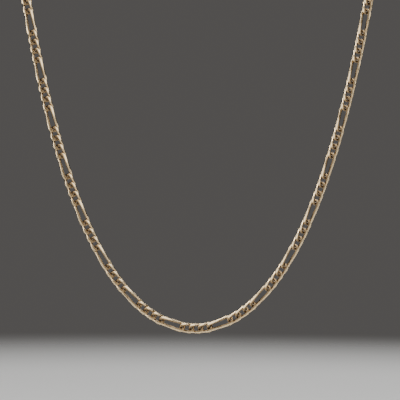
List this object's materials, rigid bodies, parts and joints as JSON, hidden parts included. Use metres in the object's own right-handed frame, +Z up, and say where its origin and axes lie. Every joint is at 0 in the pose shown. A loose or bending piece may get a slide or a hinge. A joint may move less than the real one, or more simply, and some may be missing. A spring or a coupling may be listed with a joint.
{
  "type": "figaro neck chain",
  "caption": "Gold figaro neck chain of twisted oval links, one long link after each group of short ones, hanging in a deep curve and closed at the nape by a spring ring clasp.",
  "frame": {"origin": "the point on the nape of the neck where the closed chain rests, on the middle line of the loop", "axes": "+X to the right seen from the front, +Y away from the front towards the back of the neck, +Z up"},
  "size_m": [0.1111, 0.066, 0.1432],
  "materials": {
    "link_gold": "polished, with fine lines from rolling and wear, darker in the recesses",
    "clasp_gold": "polished"
  },
  "bodies": {
    "root": {"chain_left": "link_gold", "chain_right": "link_gold", "clasp": "clasp_gold", "clasp_ring": "clasp_gold", "end_ring": "clasp_gold"}
  },
  "joints": []
}
